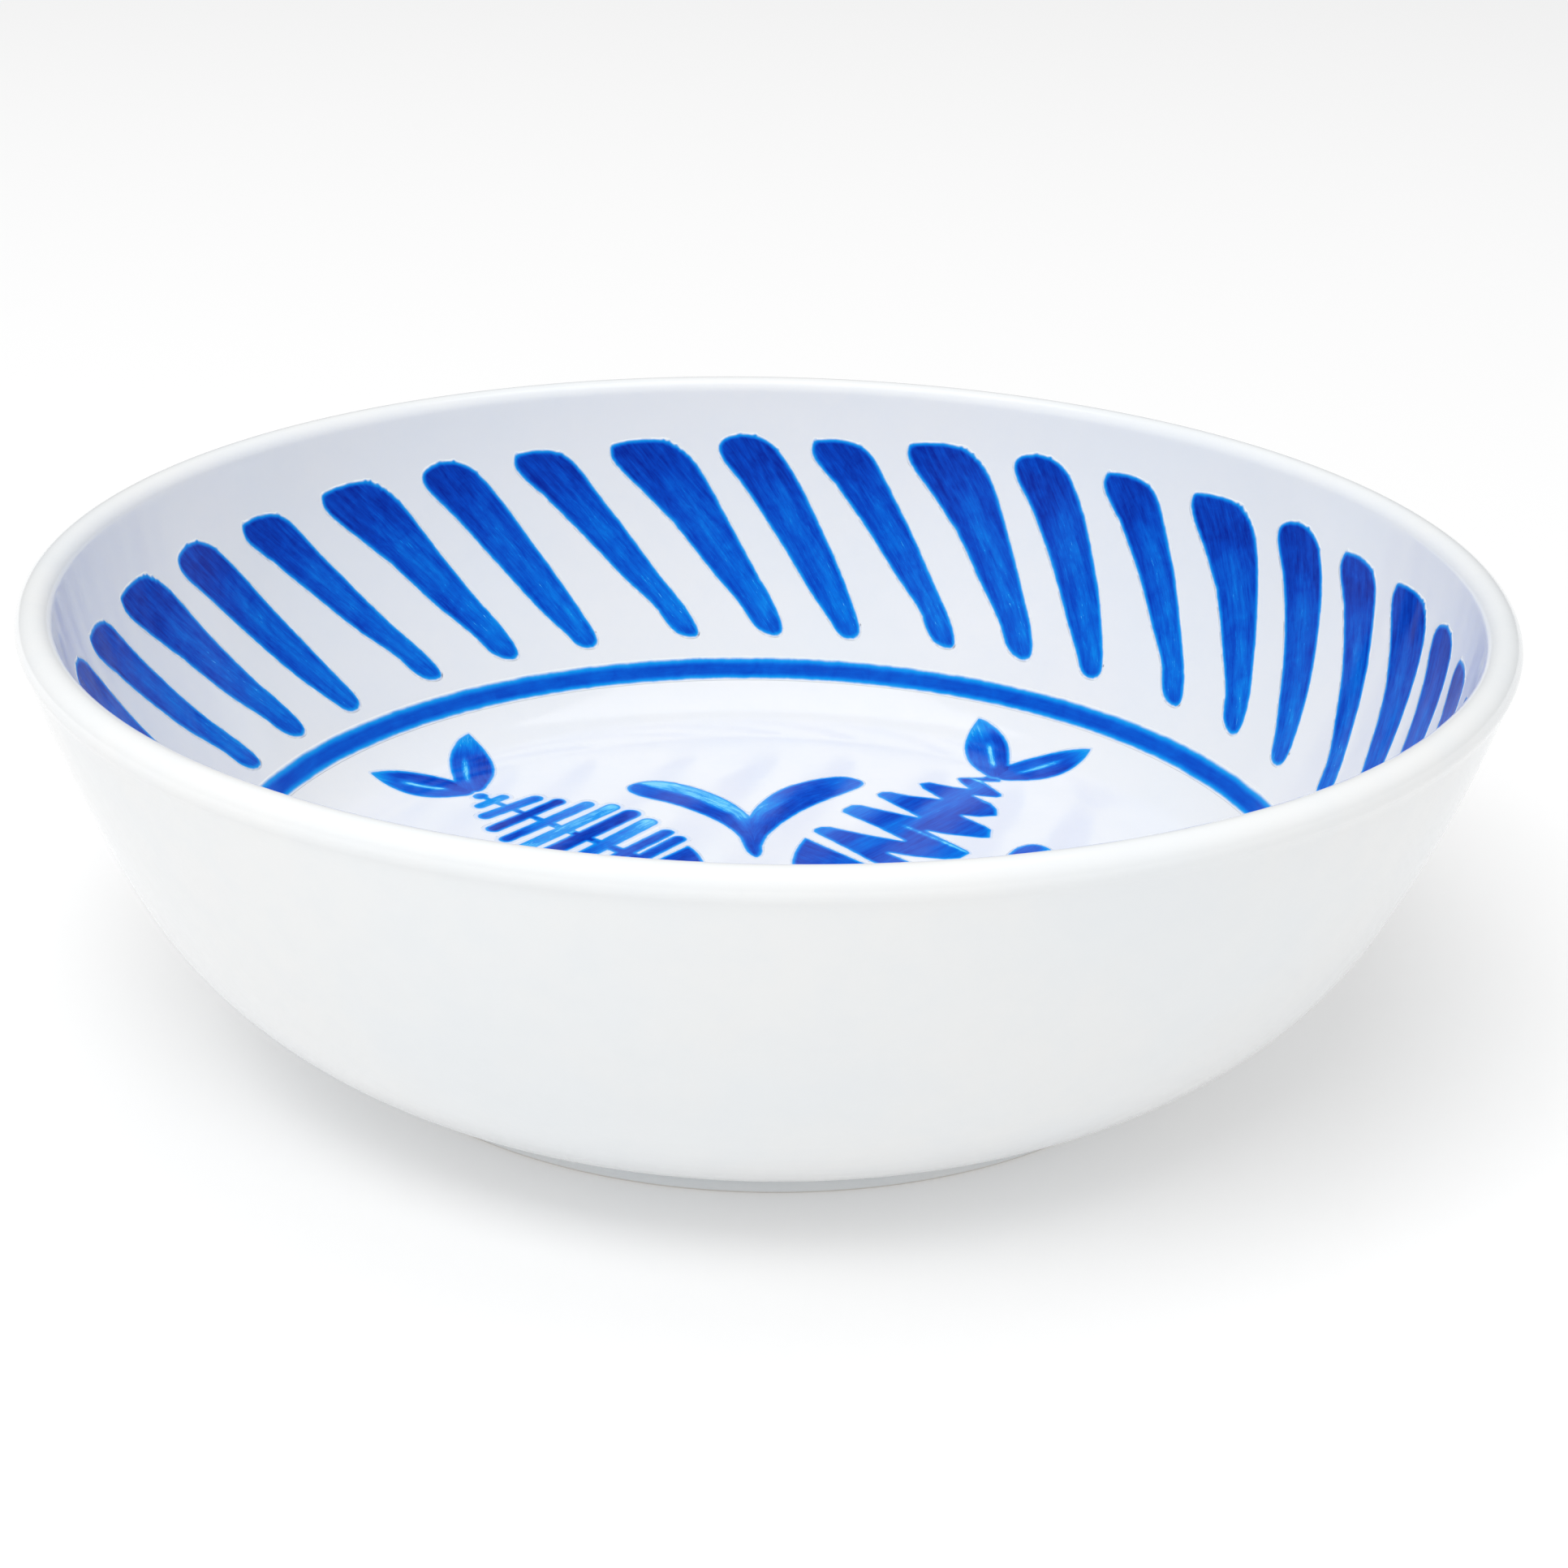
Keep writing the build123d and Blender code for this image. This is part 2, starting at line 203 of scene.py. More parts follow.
def lathe(name, profile, closed):
    """A surface of revolution. An open profile starts and ends on the axis; a closed one is a ring."""
    angles = np.arange(SEGMENTS) * TURN / SEGMENTS
    points, rings = [], []
    for x, z in profile:
        if x < 1e-6:
            rings.append([len(points)])
            points.append((0.0, 0.0, z))
        else:
            rings.append(list(range(len(points), len(points) + SEGMENTS)))
            points.extend(zip(x * np.cos(angles), x * np.sin(angles), np.full(SEGMENTS, z)))
    faces = []
    pairs = list(zip(rings, rings[1:])) + ([(rings[-1], rings[0])] if closed else [])
    for a, b in pairs:
        for k in range(SEGMENTS):
            n = (k + 1) % SEGMENTS
            if len(a) == 1:
                faces.append((a[0], b[k], b[n]))
            elif len(b) == 1:
                faces.append((a[k], b[0], a[n]))
            else:
                faces.append((a[k], b[k], b[n], a[n]))
    return make_object(name, points, faces)


# ---------------------------------------------------------------- outlines of the marks, from the CAD nodes
def sides_of(triangles):
    """The three directed sides of each triangle."""
    return np.concatenate([triangles[:, [0, 1]], triangles[:, [1, 2]], triangles[:, [2, 0]]])


def border_of(triangles):
    """The sides that belong to only one triangle."""
    pairs, count = np.unique(np.sort(sides_of(triangles), axis=1), axis=0, return_counts=True)
    return pairs[count == 1]


def outlines(node):
    """The edges round the upper face of each separate mark of a node: a list of (n, 2, 3) arrays, in mm."""
    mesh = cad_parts[node].data
    mesh.calc_loop_triangles()
    points = np.empty(len(mesh.vertices) * 3)
    mesh.vertices.foreach_get("co", points)
    triangles = np.empty(len(mesh.loop_triangles) * 3, int)
    mesh.loop_triangles.foreach_get("vertices", triangles)
    grid = np.round(points.reshape(-1, 3) / MM, 3)
    points, index = np.unique(grid, axis=0, return_inverse=True)
    triangles = index.reshape(-1)[triangles].reshape(-1, 3)
    radius = np.hypot(points[:, 0], points[:, 1])
    below, slope = inner_surface(radius)
    raised = (points[:, 2] - below) * np.cos(slope) > 0.1
    upper = triangles[raised[triangles].all(axis=1)]
    group = np.arange(len(points))
    while True:
        lowest = group[upper].min(axis=1)
        merged = group.copy()
        for corner in range(3):
            np.minimum.at(merged, upper[:, corner], lowest)
        if (merged == group).all():
            break
        group = merged
    found = []
    for first in np.unique(group[upper[:, 0]]):
        own = upper[group[upper[:, 0]] == first]
        found.append(points[border_of(own)])
    return found


def signed_edge(points, segments):
    """How far inside an outline each point is, and the nearest point on it."""
    a, b = segments[:, 0], segments[:, 1]
    ab = b - a
    length = np.maximum((ab**2).sum(-1), 1e-12)
    rise = np.where(np.abs(ab[:, 1]) < 1e-12, 1e-12, ab[:, 1])
    depth, nearest = [], []
    for start in range(0, len(points), 3000):
        p = points[start : start + 3000, None, :]
        t = np.clip(((p - a) * ab).sum(-1) / length, 0.0, 1.0)
        q = a + t[..., None] * ab
        d = np.linalg.norm(p - q, axis=-1)
        k = d.argmin(axis=1)
        rows = np.arange(len(k))
        straddles = (a[:, 1] > p[..., 1]) != (b[:, 1] > p[..., 1])
        crossing = a[:, 0] + (p[..., 1] - a[:, 1]) / rise * ab[:, 0]
        inside = (straddles & (p[..., 0] < crossing)).sum(axis=1) % 2 == 1
        depth.append(np.where(inside, d[rows, k], -d[rows, k]))
        nearest.append(q[rows, k])
    return np.concatenate(depth), np.concatenate(nearest)


def fill(segments, spacing, skirt):
    """Fills an outline, widened by a skirt, with even triangles.

    Gives the points, the triangles, and how deep inside the outline each point is.
    """
    low = segments.reshape(-1, 2).min(axis=0) - skirt - 2 * spacing
    high = segments.reshape(-1, 2).max(axis=0) + skirt + 2 * spacing
    pitch = spacing * 0.866
    rows = int((high[1] - low[1]) / pitch) + 2
    columns = int((high[0] - low[0]) / spacing) + 2
    j, i = np.mgrid[0:rows, 0:columns]
    x = low[0] + (i + 0.5 * (j % 2)) * spacing
    y = low[1] + j * pitch
    points = np.stack([x, y], axis=-1).reshape(-1, 2)
    index = np.arange(rows * columns).reshape(rows, columns)
    a, b, c, d = index[:-1, :-1], index[:-1, 1:], index[1:, :-1], index[1:, 1:]
    even = (np.arange(rows - 1) % 2 == 0)[:, None]
    one = np.where(even[..., None], np.stack([a, b, c], -1), np.stack([a, d, c], -1))
    two = np.where(even[..., None], np.stack([b, d, c], -1), np.stack([a, b, d], -1))
    triangles = np.concatenate([one.reshape(-1, 3), two.reshape(-1, 3)])
    depth, nearest = signed_edge(points, segments)
    core = depth > -skirt
    while True:
        kept = triangles[core[triangles].any(axis=1)]
        used = np.bincount(border_of(kept).reshape(-1), minlength=len(points))
        pinched = (used > 2) & ~core
        if not pinched.any():
            break
        core |= pinched
    outside = depth < -skirt
    pull = (-skirt - depth[outside]) / -depth[outside]
    points[outside] += (nearest[outside] - points[outside]) * pull[:, None]
    depth[outside] = -skirt
    order, flat = np.unique(kept, return_inverse=True)
    return points[order], flat.reshape(-1, 3), depth[order]


def on_surface(radius, azimuth, lift):
    """Points on the inside of the bowl, raised square to it."""
    z, slope = inner_surface(radius)
    out = radius - lift * np.sin(slope)
    return np.stack([out * np.cos(azimuth), out * np.sin(azimuth), z + lift * np.cos(slope)], axis=-1)


# What each point of a colour layer carries: how deep it is inside its mark, how dark the paint is there,
# and its place along and across the brush.
MARK_ATTRIBUTES = (
    ("edge", "FLOAT", "value"),
    ("tone", "FLOAT", "value"),
    ("brush", "FLOAT_VECTOR", "vector"),
)


def colour_layer(name, copies):
    """One closed mesh of several thin marks.

    Each copy is (radius, azimuth, triangles, depth, tone, brush).
    """
    points, faces, smooth = [], [], []
    values = {"edge": [], "tone": [], "brush": []}
    total = 0
    for radius, azimuth, triangles, depth, tone, brush in copies:
        count = len(radius)
        rise = np.clip((depth + SKIRT) / (2.0 * SKIRT), 0.0, 1.0)
        lift = SKIRT_LIFT + (COLOUR_LIFT - SKIRT_LIFT) * rise * rise * (3.0 - 2.0 * rise)
        points.append(on_surface(radius, azimuth, lift))
        points.append(on_surface(radius, azimuth, np.full(count, -COLOUR_SUNK)))
        directed = sides_of(triangles)
        known = set(map(tuple, directed.tolist()))
        border = [(i, j) for i, j in directed.tolist() if (j, i) not in known]
        top = (triangles + total).tolist()
        bottom = (triangles[:, ::-1] + total + count).tolist()
        sides = [(i + total, i + total + count, j + total + count, j + total) for i, j in border]
        faces += top + bottom + sides
        smooth += [True] * len(top) + [False] * (len(bottom) + len(sides))
        for key, value in (("edge", depth), ("tone", tone), ("brush", brush)):
            values[key] += [value, value]
        total += 2 * count
    obj = make_object(name, np.concatenate(points), faces, smooth)
    for key, kind, field in MARK_ATTRIBUTES:
        data = obj.data.attributes.new(key, kind, "POINT").data
        data.foreach_set(field, np.concatenate(values[key]).astype(np.float32).reshape(-1))
    return obj


def soft(value, low, high):
    """0 below low, 1 above high, smooth between."""
    t = np.clip((value - low) / (high - low), 0.0, 1.0)
    return t * t * (3.0 - 2.0 * t)


def band(value, middle, width):
    """1 at the middle, falling off on both sides."""
    return np.exp(-(((value - middle) / width) ** 2))


def beside(points, line):
    """Along and across a polyline: length to the nearest place on it, and the distance to its right."""
    line = np.array(line, float)
    a, ab = line[:-1], np.diff(line, axis=0)
    size = np.linalg.norm(ab, axis=1)
    t = np.clip(((points[:, None] - a) * ab).sum(-1) / size**2, 0.0, 1.0)
    away = points[:, None] - (a + t[..., None] * ab)
    distance = np.linalg.norm(away, axis=-1)
    k = distance.argmin(axis=1)
    rows = np.arange(len(points))
    start = np.concatenate([[0.0], np.cumsum(size)[:-1]])
    side = np.sign(away[rows, k, 0] * ab[k, 1] - away[rows, k, 1] * ab[k, 0])
    return start[k] + t[rows, k] * size[k], distance[rows, k] * side


# ---------------------------------------------------------------- how each mark is painted
# A tone of 0 is the palest wash of cobalt and 1 the deepest pooled blue. Each function takes points (u, v)
# in mm, with u outwards from the bowl's axis and v to the left of it, and gives the tone and the brush.

# The start of a fish's spine, its nine ribs and the end of its spine: how far out, and how dark, each is.
RIB_PLACES = (31.0, 34.6, 39.1, 45.4, 51.9, 57.6, 63.2, 69.1, 74.7, 80.1, 84.0)
RIB_TONES = (0.70, 0.80, 0.76, 0.52, 0.90, 0.26, 0.50, 0.90, 0.52, 0.32, 0.50)


def paint_fishbone_head(p):
    """Dark, and a little paler at the back of the head."""
    tone = 0.88 - 0.12 * soft(p[:, 0], 26.0, 31.0)
    return tone, np.stack([p[:, 1], p[:, 0], np.zeros(len(p))], -1)


def paint_fishbone_ribs(p):
    """Each rib has its own tone, and some pale or darken towards one end."""
    u, v = p[:, 0], p[:, 1]
    places = np.array(RIB_PLACES)
    near = np.abs(u[:, None] - places).argmin(axis=1)
    tone = np.array(RIB_TONES)[near]
    tone = tone - 0.25 * (near == 3) * soft(-v, 0.0, 12.0)
    tone = tone + 0.35 * (near == 6) * soft(v, 2.0, 11.0)
    tone = tone - 0.12 * soft(np.abs(v), 10.0, 17.0)
    return tone, np.stack([v, u, near * 7.0], -1)


# The middles of the left and the right leaf of each kind of tail.
LEAF_LINES = {
    "fishbone": (
        ((87.0, 0.4), (93.0, 2.8), (99.0, 7.6), (105.0, 14.4)),
        ((87.0, -0.6), (92.5, -4.4), (98.8, -10.0), (104.8, -17.0)),
    ),
    "zigzag": (
        ((88.0, 3.0), (93.6, 7.4), (99.4, 12.8), (105.2, 20.6)),
        ((88.0, 2.4), (93.6, 0.0), (99.6, -4.0), (106.8, -10.3)),
    ),
}


def paint_tail(kind):
    """The way one kind of tail is painted: each leaf has a pale vein and pales towards its tip."""

    def paint(p):
        left, right = (beside(p, line) for line in LEAF_LINES[kind])
        nearer = np.abs(left[1]) < np.abs(right[1])
        along = np.where(nearer, left[0], right[0])
        across = np.where(nearer, left[1], right[1])
        tone = 0.66 + 0.18 * soft(across, -2.0, 3.0) - 0.42 * soft(along, 16.0, 23.0)
        vein = band(across, -0.3, 0.75) * soft(along, 4.0, 8.0) * (1.0 - soft(along, 14.0, 18.0))
        return tone - 0.62 * vein, np.stack([along, across, nearer * 9.0], -1)

    return paint


def paint_zigzag_head(p):
    """Darker on the left side and paler on the right."""
    tone = 0.66 + 0.16 * soft(p[:, 1], -2.0, 9.0) - 0.22 * soft(-p[:, 1], 4.0, 12.0)
    return tone, np.stack([p[:, 1], p[:, 0], np.zeros(len(p))], -1)


# How dark a zigzag body is at some distances to its left.
ZIGZAG_SIDEWAYS = (-17.0, -12.0, -6.0, -1.0, 2.0, 5.0, 7.0, 10.0, 13.0, 18.0)
ZIGZAG_TONES = (0.50, 0.62, 0.78, 0.78, 0.56, 0.58, 0.82, 0.78, 0.54, 0.42)


def paint_zigzag_body(p):
    """Darker in bands along the fish, with three pale slivers that the brush left across it."""
    u, v = p[:, 0], p[:, 1]
    tone = np.interp(v, ZIGZAG_SIDEWAYS, ZIGZAG_TONES)
    first = band(u - 0.1 * v, 51.6, 0.7) * (1.0 - soft(v, 0.0, 4.0))
    second = band(u, 74.6, 0.5) * (1.0 - soft(v, -4.0, -1.0))
    slivers = first + second + band(u, 83.6, 0.6)
    return tone - 0.55 * slivers, np.stack([u * 0.5, v, np.zeros(len(p))], -1)


# The middles of a sprig's left and right leaf.
ARM_LINES = (
    ((23.0, 0.3), (33.5, 1.5), (46.0, 5.2), (56.0, 14.0), (64.0, 25.6)),
    ((23.0, -0.3), (33.5, -1.8), (46.0, -5.6), (56.0, -13.6), (64.4, -26.4)),
)


def paint_sprig(p):
    """The left leaf is pale along its inner side, and the right one has a pale patch halfway along."""
    left, right = (beside(p, line) for line in ARM_LINES)
    on_left = p[:, 1] > 0
    along = np.where(on_left, left[0], right[0])
    across = np.where(on_left, left[1], -right[1])
    lit = 0.60 * soft(across, 0.2, 2.8) * soft(along, 12.0, 24.0)
    patch = 0.48 * band(along, 26.0, 8.0) * soft(across, 0.6, 3.0)
    tone = 0.80 - np.where(on_left, lit, patch) - 0.18 * soft(along, 40.0, 50.0)
    return tone, np.stack([along, across, on_left * 11.0], -1)


def floor_marks(node, azimuths, spacing, skirt, paint):
    """The layer of one floor node: the mark nearest the first azimuth, turned to each azimuth."""
    first = radians(azimuths[0])
    best = None
    for edges in outlines(node):
        middle = edges.reshape(-1, 3).mean(axis=0)
        off = abs(wrapped(atan2(middle[1], middle[0]) - first))
        if best is None or off < best[0]:
            best = (off, edges)
    x, y = best[1][..., 0], best[1][..., 1]
    segments = np.stack([x * cos(first) + y * sin(first), y * cos(first) - x * sin(first)], axis=-1)
    points, triangles, depth = fill(segments, spacing, skirt)
    tone, brush = paint(points)
    radius = np.hypot(points[:, 0], points[:, 1])
    bearing = np.arctan2(points[:, 1], points[:, 0])
    copies = []
    for k, azimuth in enumerate(azimuths):
        moved = brush + np.array([0.0, 0.0, MOTIF_SEED_STEP * k])
        copies.append((radius, bearing + radians(azimuth), triangles, depth, tone, moved))
    return colour_layer("colour_" + node, copies)


def wall_place(edges):
    """The azimuth of each end of some edges, and its level: the length along the inside from the axis."""
    azimuth = np.arctan2(edges[..., 1], edges[..., 0])
    level = np.interp(np.hypot(edges[..., 0], edges[..., 1]), lookup[:, 0], lookup_length)
    return azimuth, level


def rim_marks(node, seed):
    """The layer of one width of rim stroke: one outline, moved to the place and level of each stroke."""
    found = outlines(node)
    places = []
    for edges in found:
        azimuth, level = wall_place(edges)
        around = np.angle(np.exp(1j * azimuth).mean())
        spread = wrapped(azimuth - around)
        places.append((around + 0.5 * (spread.max() + spread.min()), 0.5 * (level.max() + level.min())))
    azimuth, level = wall_place(found[0])
    first_azimuth, first_level = places[0]
    clockwise = wrapped(first_azimuth - azimuth) * np.interp(first_level, lookup_length, lookup[:, 0])
    segments = np.stack([clockwise, level - first_level], axis=-1)
    points, triangles, depth = fill(segments, STROKE_SPACING, SKIRT)
    # The stroke's own length and width, from its tip near the lip.
    middle = points.mean(axis=0)
    _, axes = np.linalg.eigh(np.cov((points - middle).T))
    direction = axes[:, 1] if axes[1, 1] < 0 else -axes[:, 1]
    along = (points - middle) @ direction
    along -= along.min()
    across = (points - middle) @ np.array([-direction[1], direction[0]])
    share = along / along.max()
    streak = band(across, 0.6, 2.2) * soft(share, 0.16, 0.34) * (1.0 - soft(share, 0.86, 0.99))
    tone = 0.88 - 0.14 * soft(share, 0.12, 0.5) - 0.10 * soft(share, 0.55, 0.95) - 0.16 * streak
    # Clockwise is to the right as seen from the axis, so the triangles are already seen from inside.
    copies = []
    for k, (place, centre) in enumerate(places):
        radius = np.interp(points[:, 1] + centre, lookup_length, lookup[:, 0])
        turned = place - points[:, 0] / np.interp(centre, lookup_length, lookup[:, 0])
        brush = np.stack([along, across, np.full(len(along), seed + STROKE_SEED_STEP * k)], -1)
        copies.append((radius, turned, triangles, depth, tone, brush))
    return colour_layer("colour_" + node, copies)


def ring_mark(node, inner, outer):
    """The layer of the line round the floor."""
    half = (outer - inner) / 2
    offsets = np.array([-SKIRT, -0.3, 0.0, 0.35, 0.8, half])
    offsets = np.concatenate([inner + offsets, outer - offsets[-2::-1]])
    count = len(offsets)
    angle = np.arange(LINE_SEGMENTS) * TURN / LINE_SEGMENTS
    radius = np.repeat(offsets, LINE_SEGMENTS)
    azimuth = np.tile(angle, count)
    index = np.arange(count * LINE_SEGMENTS).reshape(count, LINE_SEGMENTS)
    a, b = index[:-1], index[1:]
    a2, b2 = np.roll(a, -1, axis=1), np.roll(b, -1, axis=1)
    one = np.stack([a, b, b2], -1)
    two = np.stack([a, b2, a2], -1)
    triangles = np.concatenate([one.reshape(-1, 3), two.reshape(-1, 3)])
    depth = np.minimum(radius - inner, outer - radius)
    tone = np.full(len(radius), LINE_TONE)
    brush = np.stack([outer * np.cos(azimuth), radius - inner, 0.12 * outer * np.sin(azimuth)], -1)
    return colour_layer("colour_" + node, [(radius, azimuth, triangles, depth, tone, brush)])


# ---------------------------------------------------------------- materials
def linear(red, green, blue):
    """A colour given on the 0 to 255 display scale."""
    out = []
    for value in (red, green, blue):
        value /= 255.0
        out.append(value / 12.92 if value <= 0.04045 else ((value + 0.055) / 1.055) ** 2.4)
    return (*out, 1.0)


class Nodes:
    """Short calls that add nodes to a tree and link them."""

    def __init__(self, tree):
        self.tree = tree

    def add(self, kind, *inputs, **settings):
        node = self.tree.nodes.new("ShaderNode" + kind)
        for key, value in settings.items():
            setattr(node, key, value)
        for place, value in enumerate(inputs):
            if value is not None:
                self.set(node.inputs[place], value)
        return node

    def set(self, socket, value):
        if isinstance(value, bpy.types.NodeSocket):
            self.tree.links.new(value, socket)
        else:
            socket.default_value = value

    def math(self, operation, *values):
        return self.add("Math", *values, operation=operation).outputs[0]

    def span(self, value, low, high, to_low=0.0, to_high=1.0):
        node = self.add("MapRange", value, low, high, to_low, to_high, interpolation_type="SMOOTHSTEP")
        return node.outputs[0]

    def noise(self, vector, scale, detail=2.0, roughness=0.5, distortion=0.0):
        node = self.add("TexNoise")
        self.set(node.inputs["Vector"], vector)
        node.inputs["Scale"].default_value = scale
        node.inputs["Detail"].default_value = detail
        node.inputs["Roughness"].default_value = roughness
        node.inputs["Distortion"].default_value = distortion
        return node.outputs["Fac"]

    def swing(self, noise, amount):
        """A noise centred on 0, times an amount."""
        return self.math("MULTIPLY", self.math("SUBTRACT", noise, 0.5), amount)

    def mix(self, factor, first, second):
        node = self.add("Mix", data_type="RGBA")
        self.set(node.inputs["Factor"], factor)
        self.set(node.inputs[6], first)
        self.set(node.inputs[7], second)
        return node.outputs[2]

    def ramp(self, factor, stops):
        node = self.add("ValToRGB", factor)
        elements = node.color_ramp.elements
        while len(elements) > 1:
            elements.remove(elements[-1])
        elements[0].position, elements[0].color = stops[0]
        for position, colour in stops[1:]:
            elements.new(position).color = colour
        return node.outputs[0]


WHITE_COOL = linear(236, 239, 241)
WHITE_WARM = linear(239, 240, 240)
WHITE_DEEP = linear(232, 236, 239)
SPECK = linear(150, 148, 150)
BISQUE = linear(214, 210, 204)

# The outputs of the glaze group.
GLAZE_SOCKETS = (
    ("Color", "NodeSocketColor"),
    ("Roughness", "NodeSocketFloat"),
    ("Normal", "NodeSocketVector"),
)

# The top of the bare clay at the foot's contact line: it fades out between these two heights, in mm.
BARE_LOW = 0.35
BARE_HIGH = 0.75

GLAZE_IOR = 1.5
GLAZE_RELIEF = 0.15 * MM


def glaze_group():
    """The clear glaze over white porcelain: its colour, roughness and waviness, in the bowl's own space.

    The place is in mm, so a noise's scale is one over the size of its patches in mm.
    """
    tree = bpy.data.node_groups.new("glaze", "ShaderNodeTree")
    for name, kind in GLAZE_SOCKETS:
        tree.interface.new_socket(name, in_out="OUTPUT", socket_type=kind)
    n = Nodes(tree)
    metres = n.add("TexCoord").outputs["Object"]
    place = n.add("VectorMath", metres, (1000.0,) * 3, operation="MULTIPLY").outputs[0]
    height = n.add("SeparateXYZ", place).outputs[2]
    cloud = n.noise(place, scale=0.016, detail=3.0, roughness=0.55)
    mottle = n.noise(place, scale=0.11, detail=4.0, roughness=0.6)
    white = n.mix(n.span(cloud, 0.32, 0.68), WHITE_COOL, WHITE_WARM)
    white = n.mix(n.span(mottle, 0.35, 0.75, 0.0, 0.30), white, WHITE_DEEP)
    specks = n.noise(place, scale=1.9, detail=1.0)
    patches = n.noise(place, scale=0.05, detail=1.0)
    speck = n.math("MULTIPLY", n.span(specks, 0.845, 0.875), n.span(patches, 0.5, 0.6, 0.0, 0.35))
    white = n.mix(speck, white, SPECK)
    bare = n.span(height, BARE_LOW, BARE_HIGH, 1.0, 0.0)
    white = n.mix(bare, white, BISQUE)
    sheen = n.noise(place, scale=0.045, detail=3.0, roughness=0.6)
    rough = n.span(sheen, 0.3, 0.7, 0.09, 0.17)
    rough = n.math("ADD", rough, n.math("MULTIPLY", bare, 0.6))
    waves = n.noise(place, scale=0.05, detail=1.0, roughness=0.4)
    peel = n.noise(place, scale=0.42)
    relief = n.math("ADD", waves, n.math("MULTIPLY", peel, 0.10))
    clay = n.noise(place, scale=5.0, detail=3.0, roughness=0.6)
    grain = n.math("MULTIPLY", clay, n.math("MULTIPLY", bare, 0.25))
    bump = n.add("Bump")
    bump.inputs["Strength"].default_value = 1.0
    bump.inputs["Distance"].default_value = GLAZE_RELIEF
    n.set(bump.inputs["Height"], n.math("ADD", relief, grain))
    out = tree.nodes.new("NodeGroupOutput")
    n.set(out.inputs["Color"], white)
    n.set(out.inputs["Roughness"], rough)
    n.set(out.inputs["Normal"], bump.outputs[0])
    return tree


def start_material(name):
    """A material with a Principled shader fed by the glaze group: (material, nodes, shader, glaze node)."""
    material = bpy.data.materials.new(name)
    material.use_nodes = True
    tree = material.node_tree
    tree.nodes.clear()
    n = Nodes(tree)
    output = n.add("OutputMaterial")
    shader = n.add("BsdfPrincipled")
    tree.links.new(shader.outputs[0], output.inputs[0])
    glaze = n.add("Group", node_tree=GLAZE)
    n.set(shader.inputs["Roughness"], glaze.outputs["Roughness"])
    n.set(shader.inputs["Normal"], glaze.outputs["Normal"])
    shader.inputs["IOR"].default_value = GLAZE_IOR
    return material, n, shader, glaze


def white_material():
    """White porcelain under the clear glaze."""
    material, n, shader, glaze = start_material("porcelain_glaze")
    n.set(shader.inputs["Base Color"], glaze.outputs["Color"])
    return material


# The ramp from the palest wash of cobalt to the deepest pooled blue.
COBALT = (
    (0.00, linear(186, 230, 248)),
    (0.14, linear(104, 204, 246)),
    (0.28, linear(6, 148, 232)),
    (0.45, linear(4, 118, 222)),
    (0.62, linear(2, 94, 208)),
    (0.80, linear(0, 70, 190)),
    (1.00, linear(0, 42, 156)),
)
COBALT_EDGE_DEPTH = 0.26
COBALT_LEAST_DEPTH = 0.10
COBALT_SPECULAR = 0.16


def cobalt_material(name, streaks, fibres, light_flecks, wash=0.0):
    """Cobalt brushed under the glaze. It is thin at its edges and pools inside.

    Streaks, fibres and light flecks say how strongly the brush shows, and wash is a pale halo round it.
    """
    material, n, shader, glaze = start_material(name)
    edge = n.add("Attribute", attribute_name="edge").outputs["Fac"]
    tone = n.add("Attribute", attribute_name="tone").outputs["Fac"]
    brush = n.add("Attribute", attribute_name="brush").outputs["Vector"]
    near = n.add("VectorMath", brush, (0.55, 0.55, 1.0), operation="MULTIPLY").outputs[0]
    drawn = n.add("VectorMath", brush, (0.10, 0.75, 1.0), operation="MULTIPLY").outputs[0]
    hair = n.add("VectorMath", brush, (0.22, 2.6, 1.0), operation="MULTIPLY").outputs[0]
    wobble = n.swing(n.noise(near, scale=0.7), 0.4)
    inside = n.math("ADD", edge, wobble)
    cover = n.span(inside, -0.42, 0.12)
    rim = n.span(inside, 0.1, 1.1)
    pool = n.swing(n.noise(near, scale=0.35, detail=3.0, roughness=0.6, distortion=0.6), 0.38)
    drag = n.swing(n.noise(drawn, scale=1.0, detail=4.0, roughness=0.62, distortion=0.4), streaks)
    hairs = n.swing(n.noise(hair, scale=1.0, detail=3.0, roughness=0.7, distortion=0.2), fibres)
    gaps = n.noise(hair, scale=1.7, roughness=0.6, distortion=0.5)
    flecks = n.span(gaps, 0.60, 0.80, 0.0, light_flecks)
    lit = n.span(tone, 0.85, 0.60)
    depth = n.math("ADD", tone, n.math("ADD", pool, n.math("ADD", drag, hairs)))
    depth = n.math("SUBTRACT", depth, n.math("MULTIPLY", flecks, lit))
    depth = n.math("MAXIMUM", depth, COBALT_LEAST_DEPTH)
    thin = n.math("MULTIPLY", n.math("SUBTRACT", 1.0, rim), COBALT_EDGE_DEPTH)
    depth = n.math("ADD", n.math("MULTIPLY", depth, rim), thin)
    colour = n.ramp(depth, COBALT)
    if wash:
        haze = n.span(edge, -RIB_SKIRT, -0.7, 0.0, wash)
        cover = n.math("MAXIMUM", cover, haze)
    n.set(shader.inputs["Base Color"], n.mix(cover, glaze.outputs["Color"], colour))
    shader.inputs["Specular IOR Level"].default_value = COBALT_SPECULAR
    return material


GLAZE = glaze_group()
white = white_material()
stroke_blue = cobalt_material("cobalt_strokes", streaks=0.70, fibres=0.30, light_flecks=0.42)
line_blue = cobalt_material("cobalt_line", streaks=0.25, fibres=0.12, light_flecks=0.10)
motif_blue = cobalt_material("cobalt_motifs", streaks=0.50, fibres=0.36, light_flecks=0.30, wash=0.20)


